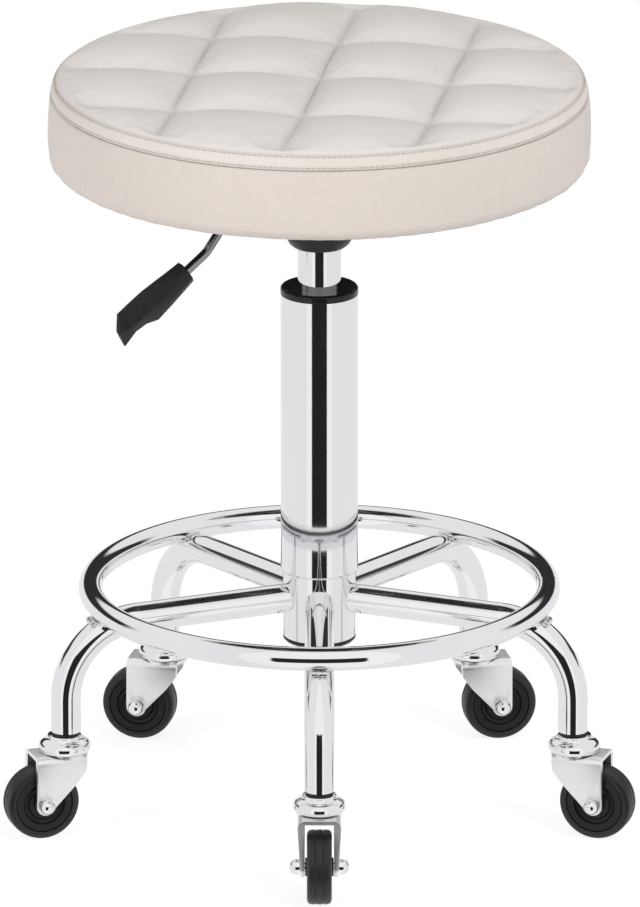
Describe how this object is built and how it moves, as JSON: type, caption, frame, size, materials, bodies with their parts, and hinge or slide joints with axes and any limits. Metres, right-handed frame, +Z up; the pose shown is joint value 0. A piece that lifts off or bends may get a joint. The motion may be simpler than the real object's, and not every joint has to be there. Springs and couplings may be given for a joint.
{
  "type": "rolling stool",
  "caption": "Round quilted stool seat on a chrome gas-lift column with a bent-tube caster base and foot ring",
  "frame": {"origin": "on the column axis, at floor level", "axes": "+Z up, the first leg points along -Y"},
  "size_m": [0.4088, 0.388, 0.498],
  "materials": {
    "chrome": "polished",
    "bearing_steel": "satin",
    "zinc_steel": "satin",
    "black_steel": "satin",
    "black_gloss": "gloss",
    "black_plastic": "satin",
    "seal_rubber": "matte",
    "wheel_plastic": "satin",
    "wheel_tread": "satin",
    "plywood": "matte",
    "foam": "matte",
    "cover_top": "satin",
    "cover_side": "satin",
    "underside_cloth": "matte"
  },
  "bodies": {
    "base": {"hub": "chrome", "leg_1": "chrome", "leg_2": "chrome", "leg_3": "chrome", "leg_4": "chrome", "leg_5": "chrome", "foot_ring": "chrome", "ring_welds": "chrome", "hub_cap": "black_plastic", "column_tube": "chrome", "column_bush": "black_gloss", "column_end_plate": "zinc_steel", "thrust_balls": "bearing_steel", "stem_sleeves": "black_plastic", "caster_stems": "bearing_steel", "race_cups": "chrome", "race_balls": "bearing_steel"},
    "gas_rod": {"piston_rod": "bearing_steel", "piston_head": "bearing_steel", "bearing_upper_washer": "bearing_steel", "bump_stop": "seal_rubber", "rod_clip": "bearing_steel"},
    "seat": {"pressure_tube": "chrome", "rod_seal": "seal_rubber", "mechanism_plate": "black_steel", "mechanism_cap": "black_plastic", "lever_bracket": "black_steel", "lever_pin": "bearing_steel", "mount_bolts": "zinc_steel", "tee_nuts": "zinc_steel", "seat_board": "plywood", "seat_foam": "foam", "top_cover": "cover_top", "edge_band": "cover_side", "side_cover": "cover_side", "dust_cover": "underside_cloth", "staples": "zinc_steel"},
    "lever": {"lever_rod": "chrome", "lever_paddle": "black_plastic"},
    "valve": {"valve_button": "bearing_steel"},
    "caster_1": {"fork_1": "chrome", "axle_1": "chrome"},
    "wheel_1": {"wheel_core_1": "wheel_plastic", "tread_1": "wheel_tread"},
    "caster_2": {"fork_2": "chrome", "axle_2": "chrome"},
    "wheel_2": {"wheel_core_2": "wheel_plastic", "tread_2": "wheel_tread"},
    "caster_3": {"fork_3": "chrome", "axle_3": "chrome"},
    "wheel_3": {"wheel_core_3": "wheel_plastic", "tread_3": "wheel_tread"},
    "caster_4": {"fork_4": "chrome", "axle_4": "chrome"},
    "wheel_4": {"wheel_core_4": "wheel_plastic", "tread_4": "wheel_tread"},
    "caster_5": {"fork_5": "chrome", "axle_5": "chrome"},
    "wheel_5": {"wheel_core_5": "wheel_plastic", "tread_5": "wheel_tread"}
  },
  "joints": [
    {"name": "seat_swivel", "type": "hinge", "parent": "base", "child": "gas_rod", "pos_m": [0, 0, 0.135], "axis": [0, 0, 1], "continuous": true},
    {"name": "seat_height", "type": "slide", "parent": "gas_rod", "child": "seat", "axis": [0, 0, 1], "range_m": [0, 0.13]},
    {"name": "lever_lift", "type": "hinge", "parent": "seat", "child": "lever", "pos_m": [-0.02356, -0.01099, 0.4255], "axis": [-0.4226, 0.9063, 0], "range_deg": [0, 5], "stiffness_Nm_per_rad": 1},
    {"name": "valve_press", "type": "slide", "parent": "seat", "child": "valve", "axis": [0, 0, -1], "range_m": [0, 0.0026]},
    {"name": "caster_1_swivel", "type": "hinge", "parent": "base", "child": "caster_1", "pos_m": [0, -0.172, 0.055], "axis": [0, 0, 1], "continuous": true},
    {"name": "wheel_1_spin", "type": "hinge", "parent": "caster_1", "child": "wheel_1", "pos_m": [0, -0.189, 0.024], "axis": [1, 0, 0], "continuous": true},
    {"name": "caster_2_swivel", "type": "hinge", "parent": "base", "child": "caster_2", "pos_m": [0.16358, -0.05315, 0.055], "axis": [0, 0, 1], "continuous": true},
    {"name": "wheel_2_spin", "type": "hinge", "parent": "caster_2", "child": "wheel_2", "pos_m": [0.17975, -0.0584, 0.024], "axis": [0.309, 0.9511, 0], "continuous": true},
    {"name": "caster_3_swivel", "type": "hinge", "parent": "base", "child": "caster_3", "pos_m": [0.1011, 0.13915, 0.055], "axis": [0, 0, 1], "continuous": true},
    {"name": "wheel_3_spin", "type": "hinge", "parent": "caster_3", "child": "wheel_3", "pos_m": [0.11773, 0.14269, 0.024], "axis": [-0.2079, 0.9781, 0], "continuous": true},
    {"name": "caster_4_swivel", "type": "hinge", "parent": "base", "child": "caster_4", "pos_m": [-0.1011, 0.13915, 0.055], "axis": [0, 0, 1], "continuous": true},
    {"name": "wheel_4_spin", "type": "hinge", "parent": "caster_4", "child": "wheel_4", "pos_m": [-0.11773, 0.14269, 0.024], "axis": [-0.2079, -0.9781, 0], "continuous": true},
    {"name": "caster_5_swivel", "type": "hinge", "parent": "base", "child": "caster_5", "pos_m": [-0.16358, -0.05315, 0.055], "axis": [0, 0, 1], "continuous": true},
    {"name": "wheel_5_spin", "type": "hinge", "parent": "caster_5", "child": "wheel_5", "pos_m": [-0.17975, -0.0584, 0.024], "axis": [0.309, -0.9511, 0], "continuous": true}
  ],
  "couplings": [
    {"joint": "valve_press", "follows": "lever_lift", "m_per_rad": 0.026}
  ]
}
